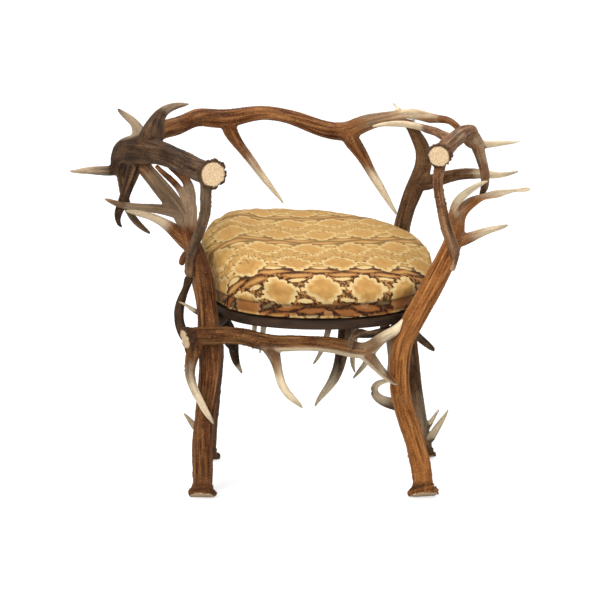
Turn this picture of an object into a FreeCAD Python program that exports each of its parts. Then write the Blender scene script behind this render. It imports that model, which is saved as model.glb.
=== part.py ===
import FreeCAD, Part
import math
import os
from FreeCAD import Vector

# Horn armchair. Millimetres, +Z up, the sitter faces -Y.
# Eleven shed antlers are pinned together and carry a padded slip seat on a board.

# Seat
SEAT_WIDTH = 490.0
SEAT_DEPTH = 475.0
SEAT_CORNER_RADIUS = 160.0
SEAT_BOW = 15.0            # how far each side bows out between its corners
SEAT_TILT = 3.5            # degrees, back edge higher
PLATFORM_HEIGHT = 370.0    # underside of the board at its front edge
PLATFORM_THICKNESS = 19.0
PLATFORM_INSET = 6.0
BASE_THICKNESS = 9.0
BASE_INSET = 7.0
COVER_THICKNESS = 2.4
HEM_WIDTH = 40.0
BOXING_HEIGHT = 43.0
BOXING_TUCK = 6.0          # how far the boxing draws in at its lower edge
CREASE_INSET = 2.5         # the crease sits a little inside the seat's outline
SHOULDER_SWELL = 3.0       # the stuffing swells past the outline above the crease
SHOULDER_RISE = 0.12       # height of that swell, as a share of the crown
CUSHION_WEDGE = 5.6        # degrees, the stuffing is thicker towards the back
CUSHION_LEAN = 5.0         # degrees, and has settled thicker towards the left
CROWN_HEIGHT = 30.0
CROWN_SETBACK = 10.0       # the crown lies behind the middle of the seat
CROWN_LEFT = 40.0          # and a little to the left
CROWN_FULLNESS = 3.0       # higher is flatter on top and steeper at the crease
CROWN_BANDS = (0.9, 0.7, 0.36)   # outlines up the crown, as shares of the seat's

# Frame
LEG_RADIUS = 23.0
LEG_GAP = 9.0              # clear space between a leg and the cushion's swell
ARM_HEIGHT = 704.0
RIGHT_ARM_RISE = 39.0      # the right arm's antler sits higher than the left one
BACK_HEIGHT = 720.0
BACK_GAP = 17.5            # back rail's middle behind the seat
ARM_REACH = 75.0           # left burr ahead of the left front hip

# Joints and fixings
COPE_CLEARANCE = 0.3
SEAT_CLEARANCE = 0.3
RAIL_BITE = 3.0            # a rail is planed flat this deep under the board
PIN_RADIUS = 3.0
PIN_LENGTH = 44.0
PIN_CLEARANCE = 0.15
SCREW_RADIUS = 2.2
SCREW_HEAD_RADIUS = 4.5
SCREW_HEAD_HEIGHT = 3.0
SCREW_DEPTH = 12.0         # thread inside the board
STAPLE_CROWN = 10.0
STAPLE_WIRE = 1.0
STAPLE_LEG = 9.0
STAPLE_COUNT = 16
PAD_CLEARANCE = 1.2        # between the padding and the cover

# Burrs
BURR_LOBES = 9
BURR_PEARL = 0.05          # height of the pearls, as a share of the ring's radius
BURR_LIP = 2.0             # burr's cut face stands this far before the beam's first section
BURR_FACE = 0.88
BURR_TURN = 0.7            # radians, turns the pearls off the beam's own seam


# Anchors that the antlers hang from


def corner_centre(sx, sy):
    cx = SEAT_WIDTH / 2 - SEAT_CORNER_RADIUS - SEAT_BOW
    cy = SEAT_DEPTH / 2 - SEAT_CORNER_RADIUS - SEAT_BOW
    return Vector(sx * cx, sy * cy, 0)


def hip(sx, sy, degrees):
    """Point beside a rounded corner of the seat where a leg passes clear of the cushion."""
    reach = SEAT_CORNER_RADIUS + SHOULDER_SWELL + LEG_GAP + LEG_RADIUS
    a = math.radians(degrees)
    return corner_centre(sx, sy) + Vector(reach * math.cos(a), reach * math.sin(a), PLATFORM_HEIGHT)


def anchors():
    a = {}
    a["fl_hip"] = hip(-1, -1, 211)
    a["fr_hip"] = hip(1, -1, -47.6)
    a["rl_hip"] = hip(-1, 1, 163)
    a["rr_hip"] = hip(1, 1, 53.6)
    drop = Vector(0, 0, -PLATFORM_HEIGHT)
    a["fl_foot"] = a["fl_hip"] + drop + Vector(-8, -42, 0)
    a["fr_foot"] = a["fr_hip"] + drop + Vector(20, 2, 0)
    a["rl_foot"] = a["rl_hip"] + drop + Vector(12, -14, 0)
    a["rr_foot"] = a["rr_hip"] + drop + Vector(39, -110, 0)
    right = ARM_HEIGHT + RIGHT_ARM_RISE
    a["l_burr"] = Vector(a["fl_hip"].x + 15, a["fl_hip"].y - ARM_REACH, ARM_HEIGHT)
    a["r_burr"] = Vector(a["fr_hip"].x + 46, a["fr_hip"].y - 34, right)
    a["l_palm"] = Vector(a["rl_hip"].x - 133, a["rl_hip"].y - 73, ARM_HEIGHT - 4)
    a["r_end"] = Vector(a["rr_hip"].x + 139, a["rr_hip"].y - 184, right - 3)
    a["back"] = Vector(0, SEAT_DEPTH / 2 + BACK_GAP, BACK_HEIGHT)
    a["front"] = Vector(0, a["fr_hip"].y, PLATFORM_HEIGHT)
    return a


def under_board(y):
    """Height of the board's underside at a place between front and back."""
    return PLATFORM_HEIGHT + (y + SEAT_DEPTH / 2) * math.tan(math.radians(SEAT_TILT))


def rel(anchor, *rows):
    """Stations written as right, back, up of an anchor, with the radius there."""
    return [(anchor + Vector(dx, dy, dz), r) for dx, dy, dz, r in rows]


def carried(anchor, *rows):
    """Stations of a rail that lies against the board: right and back of an anchor, with the radius."""
    out = []
    for dx, dy, r in rows:
        p = anchor + Vector(dx, dy, 0)
        p.z = under_board(p.y) - r + RAIL_BITE
        out.append((p, r))
    return out


# Antlers: each is a dictionary of limbs, and each limb a list of stations


def front_left_leg(a):
    foot, top = a["fl_foot"], a["fl_hip"]
    beam = rel(foot, (-3, -17, 8, 21.5), (-2, -1, 38, 20.5), (-2, 10, 78, 21.5), (0, 23, 140, 21.5))
    beam += rel(top, (1, -7, -156, 22.5), (7, -1, -70, 23.5), (2, 0, 6, 22), (-6, 5, 81, 21),
                (-21, 20, 136, 20), (-34, 40, 170, 18), (-35, 57, 205, 14), (-35, 73, 239, 12.5))
    return {
        "beam": beam,
        "tip_high": rel(top, (-35, 72, 236, 11), (-36, 87, 264, 11), (-47, 103, 287, 10),
                        (-65, 116, 301, 8), (-84, 126, 313, 5)),
        "tip_low": rel(top, (-36, 68, 228, 9), (-47, 81, 250, 9), (-57, 91, 265, 8),
                       (-73, 105, 282, 7), (-90, 119, 295, 6), (-109, 131, 312, 4.5)),
        "crown": rel(top, (-30, 36, 155, 14), (-53, 55, 171, 16.5), (-75, 73, 187, 14),
                     (-99, 93, 199, 10), (-127, 117, 206, 8), (-154, 139, 208, 6), (-177, 155, 209, 2.5)),
        "knob": rel(top, (-28, 34, 148, 9), (-47, 55, 132, 8), (-56, 63, 112, 6)),
    }


def front_right_leg(a):
    foot, top = a["fr_foot"], a["fr_hip"]
    beam = rel(foot, (0, -17, 10, 22), (-3, -2, 42, 21), (-11, 5, 86, 21), (-27, 8, 144, 20.5))
    beam += rel(top, (-24, 10, -171, 20), (-32, 8, -116, 20), (-31, 4, -61, 21), (-21, 0, -17, 22),
                (-2, 0, 20, 23), (19, 7, 57, 23), (40, 19, 93, 23), (59, 35, 126, 22),
                (76, 55, 159, 20), (87, 75, 189, 18), (92, 91, 214, 15), (105, 103, 234, 13),
                (130, 115, 250, 10), (160, 125, 258, 8), (194, 134, 263, 6.2), (222, 140, 266, 4.4),
                (247, 145, 267, 2.2))
    return {
        "beam": beam,
        "tip_high": rel(top, (90, 81, 202, 10), (81, 81, 233, 9), (91, 79, 256, 9),
                        (110, 79, 274, 8), (131, 82, 287, 6), (154, 87, 296, 2.2)),
        "tip_low": rel(top, (83, 64, 174, 14), (108, 77, 173, 13), (134, 91, 181, 9.5),
                       (164, 105, 188, 7), (200, 117, 196, 2.2)),
    }


def rear_left_leg(a):
    foot, top, palm = a["rl_foot"], a["rl_hip"], a["l_palm"]
    beam = rel(foot, (-3, -9, 3, 22), (-1, 1, 38, 21), (2, 7, 85, 21), (8, 13, 152, 22))
    beam += rel(top, (25, 4, -129, 23), (17, 2, -50, 22), (0, -4, 30, 21), (-16, -12, 98, 20),
                (-29, -22, 149, 18.5), (-43, -34, 185, 18.5))
    beam += rel(palm, (69, 25, -112, 18.5), (48, 11, -82, 18), (29, 1, -56, 17), (11, -4, -24, 15))
    return {
        "beam": beam,
        "tine": rel(top, (-40, -32, 182, 13), (-64, -52, 192, 12), (-106, -76, 204, 9.5),
                    (-148, -98, 212, 8), (-180, -112, 223, 6), (-203, -122, 234, 2.2)),
        "spur": rel(foot, (-2, 4, 55, 10), (-24, -7, 71, 8), (-37, -15, 90, 6), (-51, -21, 108, 2.2)),
    }


def rear_right_leg(a):
    foot, top, back = a["rr_foot"], a["rr_hip"], a["back"]
    beam = rel(foot, (3, -10, 5, 23), (0, 2, 37, 22), (-8, 12, 83, 21), (-16, 28, 135, 21))
    beam += rel(top, (16, -63, -183, 21), (10, -39, -121, 21), (3, -16, -58, 20.5), (-3, -1, 6, 20),
                (-6, 1, 69, 19), (-2, -5, 131, 18), (11, -6, 178, 18), (26, -6, 216, 19),
                (38, -5, 247, 18.5))
    beam += rel(back, (230, -37, -73, 17), (225, -33, -45, 15.5), (212, -30, -20, 13.5), (187, -21, 13, 10))
    return {
        "beam": beam,
        "branch": rel(top, (30, -6, 228, 14), (63, -24, 232, 15.5), (91, -49, 246, 14),
                      (124, -79, 259, 12.5),
                      (162, -105, 265, 10.5), (198, -123, 266, 7.5), (222, -132, 270, 5),
                      (245, -139, 277, 2.2)),
        "hook": rel(foot, (-14, 20, 106, 13), (-56, 2, 120, 13), (-81, -8, 131, 11.5), (-97, -14, 142, 10),
                    (-104, -15, 155, 8.8)),
        "hook_tip": rel(foot, (-104, -15, 155, 8.8), (-99, -12, 168, 7.5), (-84, -4, 174, 5.8),
                        (-60, 6, 175, 2.4)),
        "spur_low": rel(foot, (-1, -2, 32, 10), (14, -10, 41, 10), (27, -18, 61, 9), (42, -26, 88, 6.5),
                        (58, -32, 119, 2)),
        "spur_high": rel(foot, (-4, 6, 52, 8), (12, 6, 66, 7.5), (27, 8, 88, 5), (40, 10, 108, 2)),
    }


def left_arm(a):
    burr, palm, leg = a["l_burr"], a["l_palm"], a["fl_hip"]
    beam = rel(burr, (0, 0, 0, 22), (-7, 18, -1, 22.5), (-20, 45, -4, 23))
    beam += rel(palm, (124, -195, 1, 23), (97, -145, 5, 23), (65, -93, 8, 24), (32, -43, 7, 28),
                (-2, 1, 1, 32), (-30, 33, -12, 26), (-41, 48, -38, 19), (-42, 52, -60, 14))
    post = rel(burr, (-12, 30, -6, 15), (-15, 34, -48, 12), (-16, 40, -79, 11), (-22, 46, -110, 11))
    post += rel(leg, (-18, -17, 192, 11), (-28, 5, 161, 11), (-35, -4, 130, 10.5), (-35, -3, 102, 6))
    return {
        "beam": beam,
        "post": post,
        "sweep": rel(palm, (24, -36, 12, 22), (33, -23, 40, 25), (41, -5, 61, 18), (51, 13, 76, 12.5),
                     (66, 29, 85, 9.5), (87, 45, 89, 6.5), (110, 59, 90, 2.2)),
        "prong": rel(palm, (4, 6, 16, 15), (-3, 23, 49, 11), (-16, 35, 61, 8.5), (-29, 42, 70, 7),
                     (-44, 48, 82, 2.2)),
        "side": rel(palm, (-38, 48, -44, 12), (-57, 51, -54, 11), (-89, 49, -54, 9.5), (-121, 45, -54, 6.5),
                    (-148, 41, -54, 2.2)),
        "drop": rel(palm, (-4, 4, -8, 17), (-11, -5, -51, 14), (-23, -11, -84, 11.5),
                    (-34, -16, -114, 10.5),
                    (-42, -18, -136, 8.5), (-42, -18, -151, 6), (-33, -16, -166, 2.2)),
        "curl": rel(palm, (-40, 52, -54, 11), (-31, 51, -101, 10.5), (-26, 47, -129, 9), (-14, 42, -154, 8),
                    (5, 37, -174, 6.5), (25, 33, -190, 2.6)),
    }


def right_arm(a):
    burr, end, leg, back = a["r_burr"], a["r_end"], a["fr_hip"], a["back"]
    beam = rel(burr, (0, 0, 0, 18.5), (4, 16, 2, 18.5), (18, 70, 6, 18))
    beam += rel(end, (-45, -145, 9, 17.5), (-28, -85, 9, 17), (-12, -35, 7, 16), (2, 1, 1, 15))
    post = rel(burr, (2, 28, -6, 13), (-1, 28, -48, 11), (1, 30, -82, 11), (7, 33, -114, 11))
    post += rel(leg, (61, 4, 224, 11.5), (73, 12, 186, 12), (81, 27, 152, 11.5), (78, 18, 119, 6))
    arch = rel(end, (-4, -10, 3, 13), (11, -13, -17, 14), (19, -29, -40, 12.5), (26, -55, -63, 10.5))
    arch += rel(leg, (152, 161, 288, 9.5), (149, 137, 273, 8.5), (141, 121, 257, 7))
    inner = rel(end, (-32, -95, 6, 12), (-52, -15, -8, 10.5))
    inner += rel(back, (254, -155, 9, 9), (230, -88, 5, 8), (198, -46, 5, 7.5), (159, -27, 4, 6.5),
                 (116, -26, -3, 2.2))
    return {
        "beam": beam,
        "post": post,
        "arch": arch,
        "inner": inner,
        "side": rel(end, (-13, -42, 2, 10), (8, -23, -21, 10), (37, -5, -24, 8), (69, 9, -24, 5.5),
                    (108, 21, -22, 2)),
    }


def back_rail(a):
    palm, back, end = a["l_palm"], a["back"], a["r_end"]
    beam = rel(palm, (18, 26, 10, 16), (42, 73, 24, 18), (71, 117, 28, 19.5), (109, 157, 36, 18.5))
    beam += rel(back, (-238, -25, 16, 20), (-190, -9, 14, 19.5), (-140, -1, 22, 16), (-90, 3, 19, 15.5),
                (-35, 5, 3, 17), (18, 5, -15, 19), (59, 3, -18, 20), (103, -3, 0, 18), (144, -10, 12, 15),
                (181, -17, 20, 13))
    beam += rel(end, (-105, 183, 5, 11.5), (-62, 135, 5, 9), (-34, 75, 6, 6.5), (-8, 11, 7, 4.5))
    return {
        "beam": beam,
        "left_tine": rel(back, (-198, -9, 10, 15), (-193, -9, -16, 15.5), (-175, -12, -44, 11.5),
                         (-151, -15, -76, 9.8),
                         (-125, -18, -112, 8.2), (-101, -20, -143, 6), (-77, -22, -175, 2.2)),
        "right_tine": rel(back, (62, 2, -18, 16), (81, -5, -50, 16), (101, -12, -80, 12),
                          (118, -19, -110, 10.5),
                          (138, -26, -142, 8.8), (156, -32, -172, 6), (175, -38, -200, 2.8)),
        "nib": rel(back, (182, -15, 20, 8), (172, -5, 35, 4), (161, 1, 46, 1.8)),
    }


def front_rail(a):
    left, mid, right = a["fl_hip"], a["front"], a["fr_hip"]
    beam = rel(left, (-44, -50, -24, 19), (-25, -41, -20, 19), (3, -39, -19, 18), (41, -40, -18, 17),
               (81, -43, -21, 17.5), (117, -48, -30, 18.5))
    beam += rel(mid, (-82, -8, -33, 17.5), (-40, -12, -31, 16), (2, -16, -32, 16), (44, -19, -37, 17))
    beam += rel(right, (-127, -21, -43, 17.5), (-102, -21, -43, 16.5), (-77, -19, -25, 12.8),
                (-54, -15, -10, 11),
                (-33, -10, 4, 9.5), (-11, -3, 18, 5))
    return {
        "beam": beam,
        "brow": rel(left, (-26, -42, -26, 15), (-29, -45, -53, 15.5), (-35, -48, -83, 12),
                    (-34, -49, -111, 10.3),
                    (-25, -48, -137, 9), (-12, -46, -164, 8), (1, -44, -189, 6.5), (14, -42, -212, 2.2)),
        "tine": rel(left, (124, -48, -32, 15), (142, -51, -60, 14), (149, -53, -86, 10.3),
                    (155, -55, -111, 9.5),
                    (167, -57, -136, 8.8), (184, -59, -154, 7), (202, -61, -171, 2.2)),
        "fork": rel(right, (-113, -21, -44, 14), (-92, -21, -66, 13.5), (-74, -19, -87, 10.5),
                    (-56, -15, -106, 8),
                    (-34, -9, -123, 3)),
    }


def left_side_rail(a):
    front, rear = a["fl_hip"], a["rl_hip"]
    beam = carried(front, (4, 14, 14), (24, 62, 16.5), (32, 130, 17.5))
    beam += carried(rear, (50, -90, 17.5), (34, -44, 16), (10, -8, 14))
    return {
        "beam": beam,
        "outer": rel(front, (32, 126, -4, 12), (10, 128, -44, 12.5), (-10, 132, -68, 12),
                     (-30, 138, -76, 11.3),
                     (-48, 146, -68, 11), (-61, 156, -46, 10.8), (-65, 166, -22, 10.3), (-59, 180, 8, 9.8),
                     (-47, 194, 38, 8.5), (-37, 202, 58, 4)),
        "slim": rel(front, (34, 176, 2, 8), (9, 170, -23, 7), (-16, 164, -20, 6), (-39, 155, -5, 5),
                    (-65, 145, 11, 2)),
        "hang": rel(front, (32, 146, -3, 12), (42, 144, -45, 12.5), (52, 143, -79, 11.5),
                    (55, 142, -105, 9.7),
                    (63, 141, -129, 6.5), (72, 140, -147, 2.2)),
    }


def right_side_rail(a):
    front, rear = a["fr_hip"], a["rr_hip"]
    beam = carried(front, (-4, 14, 14), (-6, 62, 16), (-6, 132, 16.5))
    beam += carried(rear, (10, -170, 16.5), (8, -92, 16.5), (2, -16, 14))
    return {
        "beam": beam,
        "blunt": rel(front, (-6, 146, 2, 9), (-2, 147, -39, 9.5), (14, 146, -58, 8),
                     (30, 144, -72, 7), (46, 142, -85, 3)),
        "slim": rel(front, (-6, 128, 0, 8), (-25, 126, -25, 7.7), (-33, 124, -48, 6.3),
                    (-39, 122, -72, 2.2)),
        "hang": rel(front, (0, 212, 4, 10), (-26, 208, -38, 10.3), (-47, 207, -75, 9.5),
                    (-46, 211, -109, 7.8),
                    (-48, 215, -139, 6), (-52, 217, -164, 3)),
        "over": rel(front, (-6, 66, 0, 10), (-34, 48, -14, 10), (-64, 29, -16, 9.8), (-103, -5, -13, 8.5),
                    (-129, -37, -9, 7.5), (-137, -48, -19, 6), (-136, -49, -36, 2.4)),
    }


def rear_rail(a):
    left, right = a["rl_hip"], a["rr_hip"]
    beam = carried(left, (10, 4, 14), (106, 30, 17), (196, 40, 17))
    beam += carried(right, (-146, -57, 17), (-66, -47, 17), (-6, -18, 14))
    return {
        "beam": beam,
        "great": rel(right, (-124, -56, 8, 12), (-127, -61, -60, 13), (-130, -65, -110, 14),
                     (-136, -69, -147, 13.5),
                     (-144, -73, -180, 12), (-164, -78, -217, 9.3), (-194, -83, -261, 2.2)),
        "second": rel(right, (-155, -58, 8, 9), (-158, -61, -57, 9.5), (-168, -63, -106, 7),
                      (-179, -65, -137, 5.7),
                      (-199, -67, -170, 2)),
        "third": rel(right, (-103, -54, 8, 8.5), (-105, -58, -62, 8.5), (-107, -59, -116, 7),
                     (-111, -59, -152, 6.5),
                     (-105, -61, -190, 2)),
        "fourth": rel(right, (-36, -36, 8, 10), (-36, -52, -60, 10.5), (-52, -63, -115, 8.3),
                      (-72, -69, -150, 7),
                      (-94, -72, -180, 5.5), (-111, -74, -200, 2)),
        "left_pair": rel(right, (-324, -70, 6, 8), (-325, -70, -45, 7), (-327, -69, -100, 5.3),
                         (-331, -69, -136, 2)),
        "left_pair_low": rel(right, (-302, -66, 6, 8), (-303, -67, -45, 7.5), (-309, -69, -104, 5.8),
                             (-315, -69, -145, 2)),
    }


# Ring radius of each burr that shows; the other antlers are sawn off at their first station
BURRS = {
    "front_left_leg": 28.0,
    "front_right_leg": 31.0,
    "rear_left_leg": 29.0,
    "rear_right_leg": 29.0,
    "left_arm": 31.0,
    "right_arm": 26.0,
    "front_rail": 24.0,
}

FEET = ("front_left_leg", "front_right_leg", "rear_left_leg", "rear_right_leg")

# Which limb of which neighbour each antler is coped around
COPES = {
    "front_left_leg": [("left_arm", "beam")],
    "front_right_leg": [],
    "rear_left_leg": [("left_arm", "beam")],
    "rear_right_leg": [("back_rail", "beam")],
    "left_arm": [("front_left_leg", "beam")],
    "right_arm": [("front_right_leg", "beam"), ("back_rail", "beam")],
    "back_rail": [("left_arm", "beam"), ("left_arm", "sweep"), ("left_arm", "prong"),
                   ("rear_right_leg", "beam")],
    "front_rail": [("front_left_leg", "beam"), ("front_right_leg", "beam")],
    "left_side_rail": [("front_left_leg", "beam"), ("rear_left_leg", "beam")],
    "right_side_rail": [("front_right_leg", "beam"), ("rear_right_leg", "beam"), ("front_rail", "beam")],
    "rear_rail": [("rear_left_leg", "beam"), ("rear_right_leg", "beam")],
}

# Pins: limb and station that the pin starts from, and the limb that it enters
PINS = [
    (("left_arm", "post", -2), ("front_left_leg", "beam")),
    (("right_arm", "post", -2), ("front_right_leg", "beam")),
    (("front_rail", "beam", 2), ("front_left_leg", "beam")),
    (("front_rail", "beam", -2), ("front_right_leg", "beam")),
    (("left_side_rail", "beam", 1), ("front_left_leg", "beam")),
    (("left_side_rail", "beam", -2), ("rear_left_leg", "beam")),
    (("right_side_rail", "beam", 1), ("front_right_leg", "beam")),
    (("right_side_rail", "beam", -2), ("rear_right_leg", "beam")),
    (("rear_rail", "beam", 1), ("rear_left_leg", "beam")),
    (("rear_rail", "beam", -2), ("rear_right_leg", "beam")),
    (("rear_left_leg", "beam", -2), ("left_arm", "beam")),
    (("back_rail", "beam", 1), ("left_arm", "beam")),
    (("rear_right_leg", "beam", -2), ("back_rail", "beam")),
]

# Rail stations that a seat screw passes through
SCREWS = [
    ("left_side_rail", 2),
    ("left_side_rail", 3),
    ("right_side_rail", 2),
    ("right_side_rail", 3),
    ("rear_rail", 2),
    ("rear_rail", 3),
]


# Limb solids


def frames(points):
    """A section plane at each station, carried along the limb without twist."""
    tangents = []
    for i, p in enumerate(points):
        before = points[max(i - 1, 0)]
        after = points[min(i + 1, len(points) - 1)]
        tangents.append((after - before).normalize())
    side = tangents[0].cross(Vector(0, 0, 1))
    if side.Length < 0.2:
        side = tangents[0].cross(Vector(1, 0, 0))
    side.normalize()
    out = []
    for t in tangents:
        side = (side - t * side.dot(t)).normalize()
        out.append((side, t.cross(side), t))
    return out


def section(centre, frame, radius):
    u, v, t = frame
    ring = Part.makeCircle(radius)
    ring.Placement = FreeCAD.Placement(centre, FreeCAD.Rotation(u, v, t, "ZXY"))
    return Part.Wire([ring])


def limb(stations, grow=0.0):
    points = [p for p, r in stations]
    rings = [section(p, f, r + grow) for (p, r), f in zip(stations, frames(points))]
    return Part.makeLoft(rings, True)


def pearled_ring(centre, frame, radius, pearl):
    """Closed curve with a pearl at each lobe of the burr."""
    u, v, t = frame
    count = 3 * BURR_LOBES
    points = []
    for k in range(count):
        a = BURR_TURN + 2 * math.pi * k / count
        r = radius * (1 + pearl * math.cos(BURR_LOBES * a) + 0.5 * pearl * math.cos(2 * a + 1))
        points.append(centre + u * (r * math.cos(a)) + v * (r * math.sin(a)))
    curve = Part.BSplineCurve()
    curve.interpolate(points, True)
    return Part.Wire([curve.toShape()])


def burr(stations, ring):
    """Coronet at the sawn or shed end: a pale flat face inside a pearled rim."""
    start, radius = stations[0]
    f = frames([start, stations[1][0]])[0]
    rows = ((-BURR_LIP, BURR_FACE * ring, 0.4), (2.0, 0.98 * ring, 1.0), (7.0, ring, 1.0),
            (12.0, 0.9 * ring, 0.6), (17.0, 0.6 * radius, 0.2))
    rings = [pearled_ring(start + f[2] * s, f, r, BURR_PEARL * p) for s, r, p in rows]
    return Part.makeLoft(rings, True)


def antler(name, limbs):
    parts = [limb(st) for st in limbs.values()]
    if name in BURRS:
        parts.append(burr(limbs["beam"], BURRS[name]))
    body = parts[0]
    for piece in parts[1:]:
        body = body.fuse(piece)
    return body


# Joints


def nearest(stations, point):
    """Closest place on a limb's middle line, with the radius there."""
    best = None
    for (p, r), (q, s) in zip(stations, stations[1:]):
        run = q - p
        t = min(max((point - p).dot(run) / run.dot(run), 0.0), 1.0)
        here = p + run * t
        gap = (here - point).Length
        if best is None or gap < best[0]:
            best = (gap, here, r + (s - r) * t)
    return best[1], best[2]


def pin_line(antlers, start, into):
    """Ends of a pin that crosses the face where one antler meets another."""
    name, part, index = start
    p, r = antlers[name][part][index]
    q, s = nearest(antlers[into[0]][into[1]], p)
    d = (q - p).normalize()
    meet = q - d * s
    back = min(PIN_LENGTH / 2, (meet - p).Length + 0.55 * r)
    ahead = min(PIN_LENGTH / 2, 1.4 * s)
    return meet - d * back, meet + d * ahead


def rod(p, q, radius, over=0.0):
    d = (q - p).normalize()
    return Part.makeCylinder(radius, (q - p).Length + 2 * over, p - d * over, d)


def board_normal():
    t = math.radians(SEAT_TILT)
    return Vector(0, -math.sin(t), math.cos(t))


def screw(antlers, name, index, grow=0.0):
    """Wood screw from a recess in the rail's underside up into the board."""
    p, r = antlers[name]["beam"][index]
    n = board_normal()
    seat = p - n * (0.45 * r)
    reach = 0.45 * r + r - RAIL_BITE + SCREW_DEPTH
    shank = Part.makeCylinder(SCREW_RADIUS + grow, reach + grow, seat, n)
    sink = SCREW_HEAD_HEIGHT if grow == 0 else 1.5 * r
    head = Part.makeCylinder(SCREW_HEAD_RADIUS + grow, sink, seat - n * sink, n)
    return shank.fuse(head)


# Seat


def outline(inset, z, scale=1.0, left=0.0, back=0.0, wedge=0.0, lean=0.0):
    """Seat plan: four corner arcs joined by four long bowed arcs, tipped about its front and right edges."""
    r = SEAT_CORNER_RADIUS - inset
    c = corner_centre(1, 1)
    kx = SEAT_WIDTH / 2 - SEAT_CORNER_RADIUS
    ky = SEAT_DEPTH / 2 - SEAT_CORNER_RADIUS
    far = c.x ** 2 + c.y ** 2
    hx = (far - kx ** 2) / (2 * (kx - c.x))
    hy = (far - ky ** 2) / (2 * (ky - c.y))

    def place(x, y):
        return Vector(x * scale - left, y * scale + back, z)

    def touch(sx, sy, long_side):
        middle = Vector(sx * c.x, sy * c.y, 0)
        hub = Vector(0, -sy * hy, 0) if long_side == "y" else Vector(-sx * hx, 0, 0)
        p = middle + (middle - hub).normalize() * r
        return p

    def arc(p, m, q):
        return Part.Arc(place(p.x, p.y), place(m.x, m.y), place(q.x, q.y)).toShape()

    def corner(sx, sy, first, last):
        p = touch(sx, sy, first)
        q = touch(sx, sy, last)
        middle = Vector(sx * c.x, sy * c.y, 0)
        m = middle + ((p + q) * 0.5 - middle).normalize() * r
        return arc(p, m, q)

    half_w = SEAT_WIDTH / 2 - inset
    half_d = SEAT_DEPTH / 2 - inset
    edges = [
        arc(touch(-1, -1, "y"), Vector(0, -half_d, 0), touch(1, -1, "y")),
        corner(1, -1, "y", "x"),
        arc(touch(1, -1, "x"), Vector(half_w, 0, 0), touch(1, 1, "x")),
        corner(1, 1, "x", "y"),
        arc(touch(1, 1, "y"), Vector(0, half_d, 0), touch(-1, 1, "y")),
        corner(-1, 1, "y", "x"),
        arc(touch(-1, 1, "x"), Vector(-half_w, 0, 0), touch(-1, -1, "x")),
        corner(-1, -1, "x", "y"),
    ]
    ring = Part.Wire(edges)
    ring.rotate(Vector(SEAT_WIDTH / 2, 0, BOXING_HEIGHT), Vector(0, 1, 0), lean)
    ring.rotate(Vector(0, -SEAT_DEPTH / 2, BOXING_HEIGHT), Vector(1, 0, 0), wedge)
    return ring


def slab(inset, z, thickness):
    return Part.Face(outline(inset, z)).extrude(Vector(0, 0, thickness))


def puff_rings(inset, bottom):
    """Stuffed form in plain bands: boxing drawn in below, a crease, a swollen shoulder, a crown set back."""
    full = 1 - CROWN_BANDS[-1] ** CROWN_FULLNESS
    swell = BOXING_HEIGHT + CROWN_HEIGHT * SHOULDER_RISE
    tip = {"wedge": CUSHION_WEDGE, "lean": CUSHION_LEAN}
    rings = [
        outline(inset + BOXING_TUCK, bottom),
        outline(inset + CREASE_INSET, BOXING_HEIGHT + 0.5 * inset, wedge=CUSHION_WEDGE),
        outline(2 * inset - SHOULDER_SWELL, swell - 0.25 * inset, **tip),
    ]
    for s in CROWN_BANDS:
        climb = CROWN_HEIGHT * (1 - SHOULDER_RISE) * (1 - s ** CROWN_FULLNESS) / full
        left = CROWN_LEFT * (1 - s)
        back = CROWN_SETBACK * (1 - s)
        rings.append(outline(inset - SHOULDER_SWELL, swell + climb - inset, s, left, back, **tip))
    return rings


def punched(outer, inner, holes):
    return Part.makeFace(Part.makeCompound([outer, inner] + holes), "Part::FaceMakerBullseye")


def cover_shell(low, marks):
    """Sewn cover: outer skin, inner skin, and a hem turned under the plywood, pierced for the staples."""
    top = low + COVER_THICKNESS
    outer = puff_rings(0, low)
    inner = puff_rings(COVER_THICKNESS, top)
    mouth_low = outline(BASE_INSET + HEM_WIDTH, low)
    mouth_top = outline(BASE_INSET + HEM_WIDTH, top)
    holes_low = [leg_hole(place, turn, side, low) for place, turn in marks for side in (-1, 1)]
    holes_top = [leg_hole(place, turn, side, top) for place, turn in marks for side in (-1, 1)]
    faces = Part.makeLoft(outer, False, True).Faces + Part.makeLoft(inner, False, True).Faces
    faces += [Part.Face(outer[-1]), Part.Face(inner[-1])]
    faces += [punched(outer[0], mouth_low, holes_low), punched(inner[0], mouth_top, holes_top)]
    for under, over in zip([mouth_low] + holes_low, [mouth_top] + holes_top):
        faces += Part.makeLoft([under, over], False, True).Faces
    shell = Part.makeShell(faces)
    shell.sewShape()
    body = Part.Solid(shell.Shells[0] if shell.ShapeType != "Shell" else shell)
    if body.Volume < 0:
        body.reverse()
    return body


def turned(shape, place, turn):
    shape.Placement = FreeCAD.Placement(place, FreeCAD.Rotation(Vector(0, 0, 1), turn))
    return shape


def leg_hole(place, turn, side, z):
    """Square hole in the hem for one leg of a staple."""
    half = STAPLE_WIRE / 2 + PIN_CLEARANCE
    x = side * (STAPLE_CROWN - STAPLE_WIRE) / 2
    turns = ((-1, -1), (1, -1), (1, 1), (-1, 1), (-1, -1))
    square = Part.makePolygon([Vector(x + i * half, j * half, 0) for i, j in turns])
    return turned(square, Vector(place.x, place.y, z), turn)


def staple(place, turn, grow=0.0):
    """Crown below the hem with two legs up into the plywood."""
    half = STAPLE_CROWN / 2
    w = STAPLE_WIRE
    crown = Part.makeBox(STAPLE_CROWN, w, w, Vector(-half, -w / 2, 0))
    legs = []
    for x in (-half, half - w):
        corner = Vector(x - grow, -w / 2 - grow, 0)
        legs.append(Part.makeBox(w + 2 * grow, w + 2 * grow, STAPLE_LEG + grow, corner))
    return turned(crown.fuse(legs), place, turn)


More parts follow.
